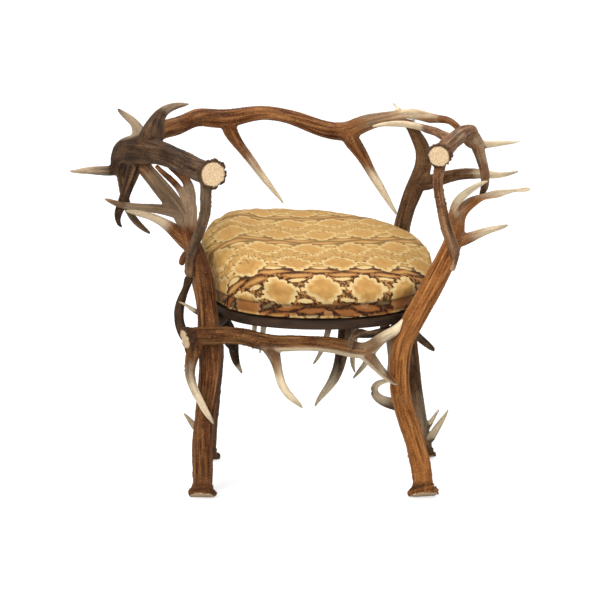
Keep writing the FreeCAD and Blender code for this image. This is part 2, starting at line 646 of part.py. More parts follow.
def staple_marks():
    """Place and turn of each staple along the middle of the hem."""
    path = outline(BASE_INSET + BOXING_TUCK + 0.4 * HEM_WIDTH, SEAT_CLEARANCE)
    marks = path.discretize(Number=STAPLE_COUNT + 1)[:-1]
    out = []
    for i, p in enumerate(marks):
        d = marks[(i + 1) % len(marks)] - marks[i - 1]
        out.append((p, math.degrees(math.atan2(d.y, d.x))))
    return out


def seat_pieces():
    """Slip seat in its own frame: zero is the top of the board, and the seat rests on its staples."""
    gap = SEAT_CLEARANCE
    hem = gap + STAPLE_WIRE + gap
    base_low = hem + COVER_THICKNESS + gap
    base_top = base_low + BASE_THICKNESS
    marks = staple_marks()
    base = slab(BASE_INSET + BOXING_TUCK, base_low, BASE_THICKNESS)
    base = base.cut([staple(p, turn, PIN_CLEARANCE) for p, turn in marks])
    inside = COVER_THICKNESS + PAD_CLEARANCE
    pad = Part.makeLoft(puff_rings(inside, hem + COVER_THICKNESS), True, True)
    corner = Vector(-1.5 * SEAT_WIDTH, -1.5 * SEAT_DEPTH, -50)
    below = Part.makeBox(3 * SEAT_WIDTH, 3 * SEAT_DEPTH, base_top + gap + 50, corner)
    pad = pad.cut(below)
    cover = cover_shell(hem, marks)
    fixings = [staple(p, turn) for p, turn in marks]
    return {"slip_seat_base": base, "seat_pad": pad, "seat_cover": cover}, fixings


def set_on_frame(shape, lift):
    """Tilt a seat piece about the board's front edge and lift it onto the rails."""
    s = shape.copy()
    s.translate(Vector(0, 0, lift))
    s.rotate(Vector(0, -SEAT_DEPTH / 2, 0), Vector(1, 0, 0), SEAT_TILT)
    s.translate(Vector(0, 0, PLATFORM_HEIGHT))
    return s


# Assembly


def frame_limbs():
    a = anchors()
    return {
        "front_left_leg": front_left_leg(a),
        "front_right_leg": front_right_leg(a),
        "rear_left_leg": rear_left_leg(a),
        "rear_right_leg": rear_right_leg(a),
        "left_arm": left_arm(a),
        "right_arm": right_arm(a),
        "back_rail": back_rail(a),
        "front_rail": front_rail(a),
        "left_side_rail": left_side_rail(a),
        "right_side_rail": right_side_rail(a),
        "rear_rail": rear_rail(a),
    }


def chair():
    limbs = frame_limbs()
    nodes = {}
    pins = [pin_line(limbs, start, into) for start, into in PINS]
    holes = [rod(p, q, PIN_RADIUS + PIN_CLEARANCE, 0.5) for p, q in pins]
    bores = [screw(limbs, name, i, PIN_CLEARANCE) for name, i in SCREWS]
    floor = Part.makeBox(3000, 3000, 200, Vector(-1500, -1500, -200))
    board = set_on_frame(slab(PLATFORM_INSET, 0, PLATFORM_THICKNESS), 0)
    rest = set_on_frame(slab(PLATFORM_INSET - SEAT_CLEARANCE, -SEAT_CLEARANCE, PLATFORM_THICKNESS), 0)
    tools = {}
    for name, parts in limbs.items():
        body = antler(name, parts)
        cuts = []
        for other, part in COPES[name]:
            if (other, part) not in tools:
                tools[other, part] = limb(limbs[other][part], COPE_CLEARANCE)
            cuts.append(tools[other, part])
        for (start, into), hole in zip(PINS, holes):
            if name in (start[0], into[0]):
                cuts.append(hole)
        for (rail, i), bore in zip(SCREWS, bores):
            if name == rail:
                cuts.append(bore)
        if name in FEET:
            cuts.append(floor)
        if name.endswith("side_rail") or name == "rear_rail":
            cuts.append(rest)
        nodes[name] = largest(body.cut(cuts))
    nodes["seat_platform"] = board.cut(bores)
    soft, fixings = seat_pieces()
    for name, shape in soft.items():
        nodes[name] = set_on_frame(shape, PLATFORM_THICKNESS)
    nodes["cover_staples"] = Part.makeCompound([set_on_frame(s, PLATFORM_THICKNESS) for s in fixings])
    nodes["joint_pins"] = Part.makeCompound([rod(p, q, PIN_RADIUS) for p, q in pins])
    nodes["seat_screws"] = Part.makeCompound([screw(limbs, name, i) for name, i in SCREWS])
    return nodes


def largest(shape):
    """The antler itself, without slivers that the coping leaves behind."""
    return max(shape.Solids, key=lambda s: s.Volume)


def centred(nodes):
    """Move the chair so that its box stands on the middle of the floor."""
    box = FreeCAD.BoundBox()
    for shape in nodes.values():
        for point in shape.tessellate(0.5)[0]:
            box.add(point)
    shift = Vector(-box.Center.x, -box.Center.y, -box.ZMin)
    for shape in nodes.values():
        shape.translate(shift)
    return shift


def main():
    os.makedirs("parts", exist_ok=True)
    nodes = chair()
    shift = centred(nodes)
    print("moved by", shift)
    for name, shape in nodes.items():
        shape.exportStep("parts/%s.step" % name)


if __name__ == "__main__":
    main()
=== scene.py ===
import math

import bmesh
import bpy
import numpy as np
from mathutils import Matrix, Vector
from mathutils.bvhtree import BVHTree
from mathutils.kdtree import KDTree


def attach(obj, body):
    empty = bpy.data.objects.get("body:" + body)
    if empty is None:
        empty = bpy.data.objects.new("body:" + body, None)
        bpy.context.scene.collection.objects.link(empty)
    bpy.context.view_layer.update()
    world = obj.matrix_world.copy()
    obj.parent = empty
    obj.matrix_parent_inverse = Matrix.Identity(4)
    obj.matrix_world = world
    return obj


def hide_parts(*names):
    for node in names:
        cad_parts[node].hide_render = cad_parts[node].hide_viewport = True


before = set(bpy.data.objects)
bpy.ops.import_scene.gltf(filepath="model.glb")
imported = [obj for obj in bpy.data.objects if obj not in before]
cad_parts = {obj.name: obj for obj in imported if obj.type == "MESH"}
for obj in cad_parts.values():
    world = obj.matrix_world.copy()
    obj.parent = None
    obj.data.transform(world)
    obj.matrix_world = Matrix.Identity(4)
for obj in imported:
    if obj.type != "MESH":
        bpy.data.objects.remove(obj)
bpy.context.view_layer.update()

# Lengths are in metres and colours are linear. Two numbers in brackets are where a smooth step
# starts and where it ends.

# Camera and stage
ELEVATION = math.radians(13.0)
DISTANCE = 9.0
AIM = Vector((0.0036, -0.0085, 0.3812))
SENSOR_MM = 36.0
LENS_MM = 251.1
VIEW_END = 60.0
LAMP_TARGET = (0, 0, 0.4)
# Each lamp: name, place, edge, watts
LAMPS = (
    ("key", (-1.5, -3.2, 2.6), 2.2, 170.0),
    ("fill", (2.4, -2.4, 1.6), 2.0, 38.0),
    ("top", (0.2, 0.8, 3.2), 2.4, 80.0),
)
FLOOR_SIZE = 40.0
FLOOR_GREYS = ((0.50, 0.50, 0.50), (0.54, 0.54, 0.54))
FLOOR_ROUGHNESS = 0.9
GLOW_REACH = (0.8, 5.0)         # the floor's glow grows with the way from the chair
GLOW = (0.68, 0.90)             # from the first strength to the second
WORLD_LIGHT, WORLD_SEEN = 0.24, 1.0

# Antlers: form
WELD = 2e-6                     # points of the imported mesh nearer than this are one
VOXEL = 0.002
JOIN_ROUNDS = 46
JOIN_SHARE = 0.45               # how much of a hollow is filled in each round
CREST_SHARE = 0.12              # how fast crests wear, over how fast hollows fill
AXIS_ROUNDS = 90
RAY_INSET = 0.0006
UNKNOWN_DEPTH = 0.02            # taken where a ray finds no far side
MOST_DEPTH = 0.06
WIDTH_ROUNDS = 12
TIP_HALF_WIDTH = 0.0034         # a limb thinner than this is a pointed end
TIP_ROUNDS, TIP_BLUR = 130, 10
NO_TIP = 1.0                    # way to a tip where none is near
FIRST_SEED = 11

# Antlers: relief
SMEAR_REACH = 0.021             # grooves are drawn out this far both ways
SMEAR_STEPS = 7
BROAD_ROUNDS, PEARL_ROUNDS, PATCH_ROUNDS = 4, 3, 120
GROOVE_DEPTH = 0.0009
BROAD_SHARE, FINE_SHARE = 0.55, 0.45
PEARL_HEIGHT = 0.0011
PEARL_LEVEL = 0.7               # only bumps above this become pearls
PEARL_AWAY = 0.15               # share of the pearling that is left far from the burr
BEAD_HEIGHT, BEAD_ROUNDS = 0.0026, 2
MOST_LIFT = 0.0024
THIN = (0.0015, 0.0050)         # half widths over which the relief sets in
FLOOR_GAP = 0.0002

# Antlers: shade that goes with the relief
STREAK_BROAD, STREAK_FINE, STREAK_PEARLS = 0.5, 0.55, 0.35
LIGHT_PEARL_LEVEL, LIGHT_PEARL_AWAY = 0.4, 0.3
STREAK_SPAN, PATCH_SPAN = 0.23, 0.2
PATCH_GRAIN = 0.4

# Antlers: wear
PALE_REACH = (0.45, 1.25)       # in reaches of the tip's paleness
PALE_RAGGED = 0.10
PALE_SMOOTH = 0.85              # how much of the relief is worn off where it is pale
STOUT = (0.009, 0.014)          # half widths over which a limb keeps its brown
STOUT_BROWN = 0.8
WORN_RAIL, WORN_PALE = "front_rail", 0.75
WORN_DOWN, WORN_X = (0.1, 0.6), (-0.10, -0.03)
SPOT_CORE = 0.6                 # share of a spot's radius with its full paleness

# Burrs: middle of the sawn face, the way it faces, and the rim's radius
BURRS = {
    "front_left_leg": ((-0.2037, -0.2305, 0.008), (-0.029, -0.470, -0.882), 0.028),
    "front_right_leg": ((0.2659, -0.2300, 0.010), (0.085, -0.423, -0.902), 0.031),
    "rear_left_leg": ((-0.2030, 0.0880, 0.003), (-0.055, -0.274, -0.960), 0.029),
    "rear_right_leg": ((0.2722, 0.0909, 0.005), (0.087, -0.350, -0.933), 0.029),
    "left_arm": ((-0.1777, -0.2465, 0.704), (0.362, -0.931, 0.052), 0.031),
    "right_arm": ((0.2919, -0.2490, 0.743), (-0.241, -0.963, -0.120), 0.026),
    "front_rail": ((-0.2367, -0.2215, 0.346), (-0.888, -0.421, -0.187), 0.024),
}
BURR_DEPTH = (0.030, 0.012)
BURR_SPREAD = (1.6, 1.2)        # in radii
FACE_TURN = (0.72, 0.90)        # cosine between the surface and the sawn face
LEG_FACE, OTHER_FACE = 1.0, 0.86    # the face's radius over the rim's
FACE_EDGE = 0.10
PEARLED_ALONG, PEARLED_ACROSS = (0.34, 0.02), (0.34, 0.10)

# Each antler: groove colour, middle colour, ridge colour, and how far its tips are pale
ANTLERS = {
    "front_left_leg": ((0.030, 0.009, 0.002), (0.128, 0.040, 0.010), (0.33, 0.155, 0.055), 0.055),
    "front_right_leg": ((0.095, 0.030, 0.007), (0.310, 0.105, 0.023), (0.53, 0.240, 0.072), 0.110),
    "rear_left_leg": ((0.032, 0.013, 0.005), (0.115, 0.047, 0.018), (0.28, 0.155, 0.072), 0.075),
    "rear_right_leg": ((0.028, 0.011, 0.004), (0.100, 0.044, 0.017), (0.25, 0.135, 0.058), 0.090),
    "left_arm": ((0.012, 0.005, 0.002), (0.058, 0.026, 0.011), (0.21, 0.118, 0.058), 0.060),
    "right_arm": ((0.045, 0.017, 0.006), (0.200, 0.085, 0.034), (0.42, 0.235, 0.120), 0.110),
    "back_rail": ((0.035, 0.010, 0.003), (0.175, 0.058, 0.015), (0.40, 0.190, 0.068), 0.120),
    "front_rail": ((0.032, 0.010, 0.002), (0.112, 0.038, 0.009), (0.32, 0.155, 0.056), 0.130),
    # left side rail: darker colours and a very short pale reach, painted shade from under the seat
    "left_side_rail": ((0.012, 0.006, 0.002), (0.045, 0.022, 0.010), (0.13, 0.070, 0.034), 0.020),
    "right_side_rail": ((0.022, 0.010, 0.004), (0.105, 0.055, 0.026), (0.30, 0.190, 0.105), 0.100),
    "rear_rail": ((0.016, 0.008, 0.003), (0.080, 0.040, 0.018), (0.26, 0.160, 0.085), 0.085),
}
GREY_TIPS = ("left_arm", "rear_left_leg", "right_side_rail")
# Where a tine is paler or browner than its tip's reach gives: middle, radius, paleness. On the left
# arm's post two spots are painted highlight.
SPOTS = {
    "left_arm": (((-0.381, 0.012, 0.572), 0.06, 0.0), ((-0.378, 0.015, 0.604), 0.05, 0.0),
                 ((-0.358, 0.059, 0.759), 0.05, 0.75), ((-0.338, 0.068, 0.525), 0.06, 0.1),
                 # these two spots on the left arm's post are painted highlight: paler colour
                 # standing in for light falling on the post
                 ((-0.194, -0.222, 0.640), 0.07, 0.2), ((-0.209, -0.206, 0.574), 0.08, 0.1),
                 ((-0.256, 0.078, 0.793), 0.05, 0.4), ((-0.312, 0.072, 0.738), 0.04, 0.35)),
    "rear_left_leg": (((-0.294, 0.037, 0.572), 0.09, 0.5), ((-0.342, 0.017, 0.571), 0.07, 0.6),
                      ((-0.390, -0.006, 0.596), 0.03, 0.2), ((-0.283, 0.037, 0.617), 0.07, 0.3)),
    "front_left_leg": (((-0.329, -0.057, 0.578), 0.09, 0.6), ((-0.228, -0.110, 0.614), 0.06, 0.2)),
    "right_arm": (((0.305, -0.225, 0.617), 0.09, 0.0), ((0.293, -0.232, 0.696), 0.07, 0.0),
                  ((0.330, -0.198, 0.519), 0.08, 0.05), ((0.346, -0.104, 0.752), 0.05, 0.1)),
}
IVORY = (0.84, 0.67, 0.44)
GREY_IVORY = (0.48, 0.35, 0.22)
IVORY_SHADE = 0.6               # the ivory's grooves over its ridges
CUT_FACE, CUT_PORES = (0.80, 0.59, 0.37), (0.60, 0.42, 0.24)
RIM_GROOVE = (0.040, 0.018, 0.008)

# Cushion
HULL_WELD = 0.0005
CUSHION_VOXEL = 0.006
CUSHION_ROUNDS = 7
CUSHION_SEED = 5
SEAM_HEIGHT, SEAM_SLOPE, SEAM_FRONT = 0.4245, 0.045, -0.220
HELD_BAND, HELD_SLOPE = 0.012, 0.061    # the lower edge that the cloth keeps
PRESSURE = 4.0
LAST_FRAME = 20
CAP, CAP_LEFT = 0.004, 0.011    # how far the cloth may move, and how much farther at the left
CAP_X = (-0.02, 0.15)
SIDE_TURN = (0.15, 0.5)
SEAM_WIDTH, SEAM_DEPTH = 0.0032, 0.0030
SHELF_RISE, SHELF_WIDTH, SHELF_HEIGHT = 0.009, 0.007, 0.0015
BOXING_EDGE, BOXING_INSET = (-0.001, 0.004), 0.0045
PUCKER_ROUNDS, PUCKER_HEIGHT, PUCKER_AWAY = 60, 0.0006, 0.3
SHOULDER_FULLNESS, SHOULDER_ROUNDS = 0.019, 20
SHOULDER_X, SHOULDER_Y, SHOULDER_RISE = (0.06, 0.18), (-0.17, -0.02), (0.02, 0.07)
# painted shadow line under the crease: how far below the seam it lies, and how wide it is
CREASE_SHADOW_DROP, CREASE_SHADOW_WIDTH = 0.001, 0.0019
UNROLL_AXES = (0.25, 0.24, 0.10)
UNROLL_HEIGHT = 0.055           # of the point it is unrolled around, over the lower edge
TURNS, RISES = 240, 60
OUTSIDE = 0.8

# Print, on the cloth laid flat
PRINT_PITCH = 0.0987            # from diamond to diamond along a row
ROW_REPEAT, LOW_REPEAT = 0.148, 0.095   # from double row to double row, on the top and the boxing
FIRST_ROW = 0.193
ROW_SLANT, ROW_BEND, ROW_FAN = -0.353, -0.427, -1.04
ACROSS_X, ACROSS_Y = 0.956, 0.292
ROW_WANDER, ACROSS_WANDER = 0.014, 0.012
DIAMOND_START, LATE_START, LOW_START = -0.0066, -0.0517, 0.0619
DIAMOND_LINE, DIAMOND_WIDTH, DIAMOND_HEIGHT = 0.041, 0.046, 0.034
LOW_LINE, LOW_HEIGHT = 0.0065, 0.008    # added on the boxing
DIAMOND_POWER = 1.15
SCALLOPS = 11.0
LOZENGE_LINE, LOZENGE_SWELL, LOZENGE_CURVE = 0.0072, 0.0078, 4.3
NOTCH_LINE, NOTCH_WIDTH, NOTCH_HEIGHT = 0.0205, 0.019, 0.0050
WEAVE = 5200.0                  # radians per metre
INK, TAN, CREAM = (0.040, 0.013, 0.003), (0.44, 0.260, 0.080), (0.58, 0.42, 0.190)
TAN_SHADE, ORNAMENT = (0.20, 0.085, 0.024), (0.34, 0.150, 0.042)
LOZENGE_EDGE, LOZENGE_GOLD = (0.22, 0.080, 0.018), (0.43, 0.230, 0.070)
HEART_LIGHT, HEART_DARK = (0.45, 0.255, 0.075), (0.37, 0.185, 0.050)
# the second colour is the top's paler print, partly fading and partly painted glare
FLECK, FADED_AND_GLARE = (0.11, 0.050, 0.016), (0.45, 0.275, 0.088)
# darker print colours for the boxing, partly its browner print and partly painted shade
BOXING_SHADED_INK, BOXING_SHADED_BROWN = (0.022, 0.005, 0.001), (0.21, 0.065, 0.015)
# colour of the painted shadow line along the crease between top and boxing
CREASE_SHADOW = (0.03, 0.01, 0.003)

# Boards and metal
BOARD_GRAIN = (6.0, 90.0, 90.0)
BOARD_DARK, BOARD_LIGHT = (0.012, 0.006, 0.002), (0.034, 0.016, 0.007)
BOARD_BLOT = (0.060, 0.030, 0.014)
PLY_DARK, PLY_LIGHT = (0.42, 0.28, 0.14), (0.58, 0.42, 0.24)
STEEL_DARK, STEEL_LIGHT = (0.42, 0.42, 0.43), (0.62, 0.62, 0.63)


class Tree:
    """A material's node tree, written as arithmetic."""

    def __init__(self, name):
        self.material = bpy.data.materials.new(name)
        self.material.use_nodes = True
        self.nodes = self.material.node_tree.nodes
        self.links = self.material.node_tree.links
        self.shader = self.nodes["Principled BSDF"]

    def put(self, socket, value):
        if isinstance(value, bpy.types.NodeSocket):
            self.links.new(value, socket)
        else:
            socket.default_value = value

    def math(self, kind, *values):
        node = self.nodes.new("ShaderNodeMath")
        node.operation = kind
        for socket, value in zip(node.inputs, values):
            self.put(socket, value)
        return node.outputs[0]

    def add(self, a, b):
        return self.math("ADD", a, b)

    def sub(self, a, b):
        return self.math("SUBTRACT", a, b)

    def mul(self, a, b):
        return self.math("MULTIPLY", a, b)

    def step(self, value, low, high, to_low=0.0, to_high=1.0):
        node = self.nodes.new("ShaderNodeMapRange")
        node.interpolation_type = "SMOOTHSTEP"
        for socket, v in zip(node.inputs[:5], (value, low, high, to_low, to_high)):
            self.put(socket, v)
        return node.outputs[0]

    def mix(self, share, a, b):
        node = self.nodes.new("ShaderNodeMix")
        node.data_type = "RGBA"
        self.put(node.inputs[0], share)
        for socket, v in ((node.inputs[6], a), (node.inputs[7], b)):
            self.put(socket, v if isinstance(v, bpy.types.NodeSocket) else (*v, 1))
        return node.outputs[2]

    def noise(self, scale, vector=None, detail=2.0, rough=0.5):
        node = self.nodes.new("ShaderNodeTexNoise")
        node.inputs["Scale"].default_value = scale
        node.inputs["Detail"].default_value = detail
        node.inputs["Roughness"].default_value = rough
        self.put(node.inputs["Vector"], vector or self.place())
        return node.outputs["Fac"]

    def place(self):
        return self.nodes.new("ShaderNodeTexCoord").outputs["Object"]

    def attribute(self, name, output="Fac"):
        node = self.nodes.new("ShaderNodeAttribute")
        node.attribute_name = name
        return node.outputs[output]

    def bump(self, height, distance, strength):
        node = self.nodes.new("ShaderNodeBump")
        node.inputs["Distance"].default_value = distance
        node.inputs["Strength"].default_value = strength
        self.put(node.inputs["Height"], height)
        self.put(self.shader.inputs["Normal"], node.outputs[0])

    def finish(self, colour, roughness, specular=0.5):
        self.put(self.shader.inputs["Base Color"], colour)
        self.put(self.shader.inputs["Roughness"], roughness)
        self.put(self.shader.inputs["Specular IOR Level"], specular)
        return self.material


# Mesh helpers
def new_object(name, data):
    item = bpy.data.objects.new(name, data)
    bpy.context.scene.collection.objects.link(item)
    return item


def baked(piece):
    """Applies the piece's modifiers to its mesh."""
    bpy.context.view_layer.update()
    graph = bpy.context.evaluated_depsgraph_get()
    mesh = bpy.data.meshes.new_from_object(piece.evaluated_get(graph))
    piece.modifiers.clear()
    old = piece.data
    piece.data = mesh
    bpy.data.meshes.remove(old)


def even_piece(name, work, mesh, voxel):
    """A piece of even faces from a bmesh, which it frees."""
    work.to_mesh(mesh)
    work.free()
    piece = new_object(name, mesh)
    remesh = piece.modifiers.new("even", "REMESH")
    remesh.mode = "VOXEL"
    remesh.voxel_size = voxel
    baked(piece)
    return piece


def points(mesh):
    co = np.empty(len(mesh.vertices) * 3, np.float32)
    mesh.vertices.foreach_get("co", co)
    return co.reshape(-1, 3).astype(float)


def normals(mesh):
    no = np.empty(len(mesh.vertices) * 3, np.float32)
    mesh.vertex_normals.foreach_get("vector", no)
    return no.reshape(-1, 3).astype(float)


def put_points(mesh, co):
    mesh.vertices.foreach_set("co", co.astype(np.float32).ravel())
    mesh.update()


def ray_tree(mesh, co):
    return BVHTree.FromPolygons([Vector(p) for p in co], [tuple(f.vertices) for f in mesh.polygons])


class Neighbours:
    """Averages over each point's neighbours on the mesh."""

    def __init__(self, mesh):
        ends = np.empty(len(mesh.edges) * 2, np.int32)
        mesh.edges.foreach_get("vertices", ends)
        ends = ends.reshape(-1, 2)
        both = np.vstack([ends, ends[:, ::-1]])
        both = both[np.argsort(both[:, 0], kind="stable")]
        self.other = both[:, 1]
        self.count = np.bincount(both[:, 0], minlength=len(mesh.vertices)).astype(float)
        self.start = np.concatenate([[0], np.cumsum(self.count)[:-1]]).astype(int)

    def mean(self, values):
        flat = values.reshape(len(values), -1)
        total = np.add.reduceat(flat[self.other], self.start, axis=0)
        return (total / self.count[:, None]).reshape(values.shape)

    def spread(self, values, rounds, share=0.5):
        for _ in range(rounds):
            values = values + share * (self.mean(values) - values)
        return values


def keep_values(mesh, name, values):
    layer = mesh.attributes.new(name, "FLOAT", "POINT")
    layer.data.foreach_set("value", values.astype(np.float32))


def dress(mesh, material):
    mesh.materials.clear()
    mesh.materials.append(material)


def smooth_shaded(mesh):
    for polygon in mesh.polygons:
        polygon.use_smooth = True


def smooth_step(x, low, high):
    t = np.clip((x - low) / (high - low), 0, 1)
    return t * t * (3 - 2 * t)


def bell(x, width):
    return np.exp(-(x / width) ** 2)


def levelled(values):
    return (values - values.mean()) / values.std()


# Antlers
def antler_piece(node):
    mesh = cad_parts[node].data.copy()
    work = bmesh.new()
    work.from_mesh(mesh)
    bmesh.ops.remove_doubles(work, verts=work.verts, dist=WELD)
    return even_piece(node + "_horn", work, mesh, VOXEL)


def flowing_joins(mesh, near):
    """Rounds the inner corners where tines leave the beam."""
    co = points(mesh)
    for _ in range(JOIN_ROUNDS):
        put_points(mesh, co)
        normal = normals(mesh)
        gap = near.mean(co) - co
        rise = np.einsum("ij,ij->i", gap, normal)
        co = co + JOIN_SHARE * np.where(rise > 0, rise, CREST_SHARE * rise)[:, None] * normal
    put_points(mesh, co)


def half_width(mesh, co, normal, near):
    """Half the limb's thickness under each point."""
    tree = ray_tree(mesh, co)
    depth = np.empty(len(co))
    for i, (p, n) in enumerate(zip(co, normal)):
        hit = tree.ray_cast(Vector(p - n * RAY_INSET), Vector(-n))
        depth[i] = hit[3] if hit[3] is not None else UNKNOWN_DEPTH
    return near.spread(np.minimum(depth, MOST_DEPTH), WIDTH_ROUNDS) / 2


def limb_axis(normal, near):
    """The way each limb runs: the direction in which the surface turns least."""
    tensor = near.spread(normal[:, :, None] * normal[:, None, :], AXIS_ROUNDS)
    return np.linalg.eigh(tensor)[1][:, :, 0]


def smear_table(co, axis):
    """For each point, the points that lie before and behind it along its limb."""
    tree = KDTree(len(co))
    for i, p in enumerate(co):
        tree.insert(p, i)
    tree.balance()
    table = np.empty((len(co), 2 * SMEAR_STEPS + 1), np.int32)
    for k, s in enumerate(np.linspace(-SMEAR_REACH, SMEAR_REACH, 2 * SMEAR_STEPS + 1)):
        table[:, k] = [tree.find(p)[1] for p in co + s * axis]
    return table


def grain_fields(co, normal, near, seed):
    """Fine grooves, broad grooves, pearls and patches, each drawn at random and levelled."""
    rng = np.random.default_rng(seed)
    table = smear_table(co, limb_axis(normal, near))

    def drawn(rounds):
        return near.spread(rng.standard_normal(len(co)), rounds)

    def smeared(values):
        return values[table].mean(1)[table].mean(1)

    fine = levelled(smeared(drawn(0)))
    broad = levelled(smeared(drawn(BROAD_ROUNDS)))
    pearls = levelled(drawn(PEARL_ROUNDS))
    patch = levelled(drawn(PATCH_ROUNDS))
    return fine, broad, pearls, patch


def way_to_tips(co, near, width):
    """How far each point is from the nearest pointed end, along the surface."""
    owner = np.repeat(np.arange(len(co)), near.count.astype(int))
    length = np.linalg.norm(co[owner] - co[near.other], axis=1)
    way = np.where(width < TIP_HALF_WIDTH, 0.0, NO_TIP)
    for _ in range(TIP_ROUNDS):
        way = np.minimum(way, np.minimum.reduceat(way[near.other] + length, near.start))
    return near.spread(way, TIP_BLUR)


def paleness(node, co, normal, width, tips):
    """How far each point has worn from brown to ivory; at two spots on the left arm's post the
    paleness is painted highlight.
    """
    reach = ANTLERS[node][3]
    pale = 1 - smooth_step(tips, PALE_REACH[0] * reach, PALE_REACH[1] * reach)
    pale = pale * (1 - STOUT_BROWN * smooth_step(width, *STOUT))
    if node == WORN_RAIL:
        worn = smooth_step(-normal[:, 2], *WORN_DOWN) * smooth_step(co[:, 0], *WORN_X)
        pale = np.maximum(pale, WORN_PALE * worn)
    # spots make some tines paler or browner; on the left arm's post they paint a highlight
    for spot, radius, amount in SPOTS.get(node, ()):
        away = np.linalg.norm(co - np.array(spot), axis=1)
        share = smooth_step(-away, -radius, -SPOT_CORE * radius)
        pale = pale + share * (amount - pale)
    return pale


def burr_shares(node, co, normal):
    """How far each point is part of the sawn face, the beaded rim and the pearled beam by it."""
    if node not in BURRS:
        return (np.zeros(len(co)),) * 3
    middle, way, radius = (np.array(v) for v in BURRS[node])
    off = co - middle
    along = off @ way
    across = np.linalg.norm(off - along[:, None] * way, axis=1)
    close = smooth_step(-along, *BURR_DEPTH)
    close = close * smooth_step(across, radius * BURR_SPREAD[0], radius * BURR_SPREAD[1])
    whole = LEG_FACE if node.endswith("leg") else OTHER_FACE
    face = smooth_step(normal @ way, *FACE_TURN) * close
    face = face * smooth_step(across, radius * whole, radius * (whole - FACE_EDGE))
    rim = close * (1 - face)
    pearled = smooth_step(-along, *PEARLED_ALONG) * smooth_step(across, *PEARLED_ACROSS)
    return face, rim, pearled


def make_antler(node, seed):
    piece = antler_piece(node)
    mesh = piece.data
    near = Neighbours(mesh)
    flowing_joins(mesh, near)
    co, normal = points(mesh), normals(mesh)
    width = half_width(mesh, co, normal, near)
    fine, broad, pearls, patch = grain_fields(co, normal, near, seed)
    groove, middle, ridge, reach = ANTLERS[node]
    ragged = PALE_RAGGED * reach
    tips = way_to_tips(co, near, width) + ragged * patch + ragged * broad
    pale = paleness(node, co, normal, width, tips)
    face, rim, pearled = burr_shares(node, co, normal)

    rough = (1 - PALE_SMOOTH * pale) * (1 - face)
    lift = GROOVE_DEPTH * (BROAD_SHARE * broad + FINE_SHARE * fine) * rough
    pearling = PEARL_AWAY + (1 - PEARL_AWAY) * pearled
    lift = lift + PEARL_HEIGHT * np.maximum(pearls - PEARL_LEVEL, 0) * pearling * rough
    lift = lift + BEAD_HEIGHT * levelled(near.spread(pearls, BEAD_ROUNDS)) * rim
    lift = np.clip(lift, -MOST_LIFT, MOST_LIFT) * smooth_step(width, *THIN)
    co = co + lift[:, None] * normal
    co[:, 2] = np.maximum(co[:, 2], FLOOR_GAP)
    put_points(mesh, co)

    lightness = LIGHT_PEARL_AWAY + (1 - LIGHT_PEARL_AWAY) * pearled
    light_pearls = np.maximum(pearls - LIGHT_PEARL_LEVEL, 0) * lightness
    streak = STREAK_BROAD * broad + STREAK_FINE * fine + STREAK_PEARLS * light_pearls
    keep_values(mesh, "streak", np.clip(0.5 + STREAK_SPAN * streak, 0, 1))
    grain = mesh.attributes.new("grain", "FLOAT_VECTOR", "POINT")
    lines = np.stack([broad, fine, PATCH_GRAIN * patch], 1)
    grain.data.foreach_set("vector", lines.astype(np.float32).ravel())
    keep_values(mesh, "pale", np.clip(pale, 0, 1))
    keep_values(mesh, "face", np.clip(face, 0, 1))
    keep_values(mesh, "rim", np.clip(rim, 0, 1))
    keep_values(mesh, "patch", np.clip(0.5 + PATCH_SPAN * patch, 0, 1))
    smooth_shaded(mesh)
    dress(mesh, antler_material(node, groove, middle, ridge))
    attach(piece, "root")
    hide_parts(node)


def antler_material(node, groove, middle, ridge):
    t = Tree(node + "_bone")
    streak = t.attribute("streak")
    pale, face = t.attribute("pale"), t.attribute("face")
    rim, patch = t.attribute("rim"), t.attribute("patch")
    grit = t.noise(700.0, detail=4.0)
    cloud = t.noise(38.0, detail=5.0, rough=0.6)
    line = t.noise(2.6, t.attribute("grain", "Vector"), 3.0, 0.6)
    # One level from groove to ridge steers every colour
    level = t.add(t.mul(streak, 0.85), t.mul(line, 1.3))
    level = t.add(level, t.sub(t.mul(grit, 0.5), 0.82))
    brown = t.mix(t.step(level, 0.28, 0.56), groove, middle)
    brown = t.mix(t.step(level, 0.56, 0.90), brown, ridge)
    brown = t.mix(t.mul(t.step(patch, 0.40, 0.80), 0.18), brown, ridge)
    brown = t.mix(t.mul(t.step(cloud, 0.50, 0.72), 0.35), brown, groove)
    specks = t.step(t.noise(420.0, detail=1.0), 0.64, 0.70)
    brown = t.mix(t.mul(specks, 0.5), brown, ridge)
    tip = GREY_IVORY if node in GREY_TIPS else IVORY
    ivory = t.mix(t.step(level, 0.10, 0.55), tuple(IVORY_SHADE * c for c in tip), tip)
    bone = t.mix(pale, brown, ivory)
    beads = t.mix(t.step(level, 0.40, 0.75), RIM_GROOVE, middle)
    bone = t.mix(t.mul(rim, 0.85), bone, beads)
    cut = t.mix(t.step(t.noise(420.0, detail=3.0), 0.42, 0.60), CUT_PORES, CUT_FACE)
    colour = t.mix(face, bone, cut)
    roughness = t.add(t.mul(pale, -0.14), t.add(0.46, t.mul(grit, 0.2)))
    t.bump(t.add(grit, t.add(t.mul(line, 2.0), streak)), 0.0011, 0.9)
    return t.finish(colour, roughness, specular=0.12)


